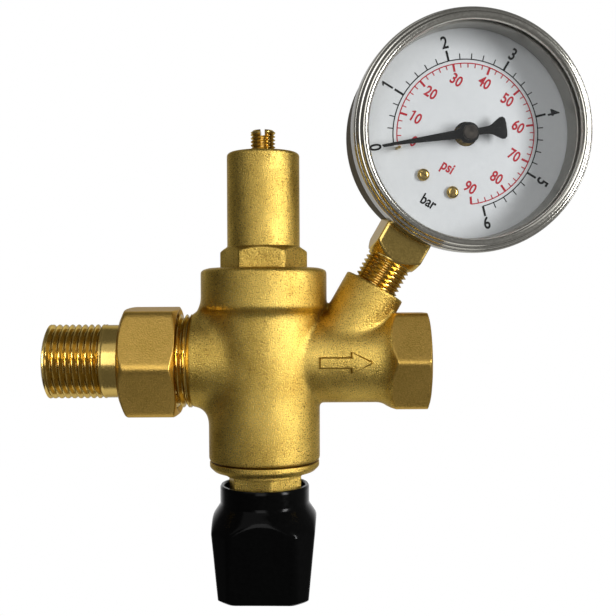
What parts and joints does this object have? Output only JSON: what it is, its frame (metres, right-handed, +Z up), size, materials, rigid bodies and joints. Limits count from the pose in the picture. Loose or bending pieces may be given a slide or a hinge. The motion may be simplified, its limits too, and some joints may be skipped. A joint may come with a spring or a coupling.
{
  "type": "pressure reducing valve with gauge",
  "caption": "Brass pressure reducing valve with union tail inlet, threaded outlet, slotted setting screw, black shut-off knob and an inclined dial gauge.",
  "frame": {"origin": "where the flow axis crosses the spring axis", "axes": "+X along the flow to the outlet, +Z up the spring axis, gauge dial faces -Y"},
  "size_m": [0.1512, 0.0381, 0.1616],
  "materials": {
    "cast_brass": "satin, shot-blasted",
    "turned_brass": "bright machined",
    "spring_steel": "drawn wire",
    "bright_steel": "bright, rolled",
    "case_steel": "satin grey lacquer",
    "black_plastic": "semi-gloss moulded",
    "black_rubber": "moulded seal",
    "fibre_gasket": "pressed fibre",
    "dial_white": "matt printed",
    "pointer_black": "satin black",
    "window_clear": "clear"
  },
  "bodies": {
    "valve": {"valve_body": "cast_brass", "union_nut": "cast_brass", "spring_bonnet": "cast_brass", "bottom_cap": "cast_brass", "inlet_tail": "turned_brass", "shutoff_seat": "turned_brass", "gauge_socket": "turned_brass", "zero_stop_pin": "turned_brass", "dial_screw_left": "turned_brass", "dial_screw_right": "turned_brass", "movement_rear_plate": "turned_brass", "movement_front_plate": "turned_brass", "movement_pillar_upper": "turned_brass", "movement_pillar_lower": "turned_brass", "bourdon_tube": "turned_brass", "tube_tip": "turned_brass", "regulating_spring": "spring_steel", "hairspring": "spring_steel", "inlet_strainer": "bright_steel", "gauge_bezel": "bright_steel", "dial_spacer": "bright_steel", "tip_link": "bright_steel", "gauge_case": "case_steel", "cap_ring": "black_rubber", "union_gasket": "fibre_gasket", "gauge_dial": "dial_white", "gauge_window": "window_clear"},
    "spring_seat": {"spring_plate": "turned_brass"},
    "setting_screw": {"adjusting_screw": "turned_brass"},
    "piston": {"piston": "turned_brass", "piston_ring": "black_rubber", "disc_seal": "black_rubber", "disc_holder": "turned_brass", "disc_nut": "turned_brass"},
    "shutoff_plunger": {"shutoff_plunger": "turned_brass", "plunger_seal": "black_rubber"},
    "shutoff_knob": {"shutoff_knob": "black_plastic", "shutoff_spindle": "turned_brass", "spindle_ring": "black_rubber"},
    "pointer": {"gauge_pointer": "pointer_black", "pointer_bush": "bright_steel", "pointer_arbor": "bright_steel"},
    "sector": {"sector_gear": "turned_brass", "sector_arbor": "bright_steel"}
  },
  "joints": [
    {"name": "spring_preload", "type": "slide", "parent": "valve", "child": "spring_seat", "axis": [0, 0, -1], "range_m": [-0.004, 0.006], "deforming": ["regulating_spring"]},
    {"name": "setting_screw_turn", "type": "hinge", "parent": "spring_seat", "child": "setting_screw", "pos_m": [0, 0, 0.0652], "axis": [0, 0, -1], "range_deg": [-1441, 2161]},
    {"name": "piston_lift", "type": "slide", "parent": "valve", "child": "piston", "axis": [0, 0, 1], "range_m": [0, 0.0015], "deforming": ["regulating_spring"]},
    {"name": "shutoff_travel", "type": "slide", "parent": "valve", "child": "shutoff_plunger", "axis": [0, 0, 1], "range_m": [0, 0.0036]},
    {"name": "shutoff_turn", "type": "hinge", "parent": "shutoff_plunger", "child": "shutoff_knob", "pos_m": [0, 0, -0.0658], "axis": [0, 0, 1], "range_deg": [0, 865]},
    {"name": "pointer_turn", "type": "hinge", "parent": "valve", "child": "pointer", "pos_m": [0.0562, 0, 0.06339], "axis": [-0.098, 0.9936, 0.0566], "range_deg": [0, 264.5], "stiffness_Nm_per_rad": 0.00002, "springref_deg": -28.65},
    {"name": "sector_turn", "type": "hinge", "parent": "valve", "child": "sector", "pos_m": [0.04653, -0.00063, 0.05778], "axis": [-0.098, 0.9936, 0.0566], "range_deg": [-46, 0]}
  ],
  "couplings": [
    {"joint": "setting_screw_turn", "follows": "spring_preload", "rad_per_m": 6283.2},
    {"joint": "shutoff_turn", "follows": "shutoff_travel", "rad_per_m": 4188.8},
    {"joint": "sector_turn", "follows": "pointer_turn", "ratio": -0.16667}
  ]
}
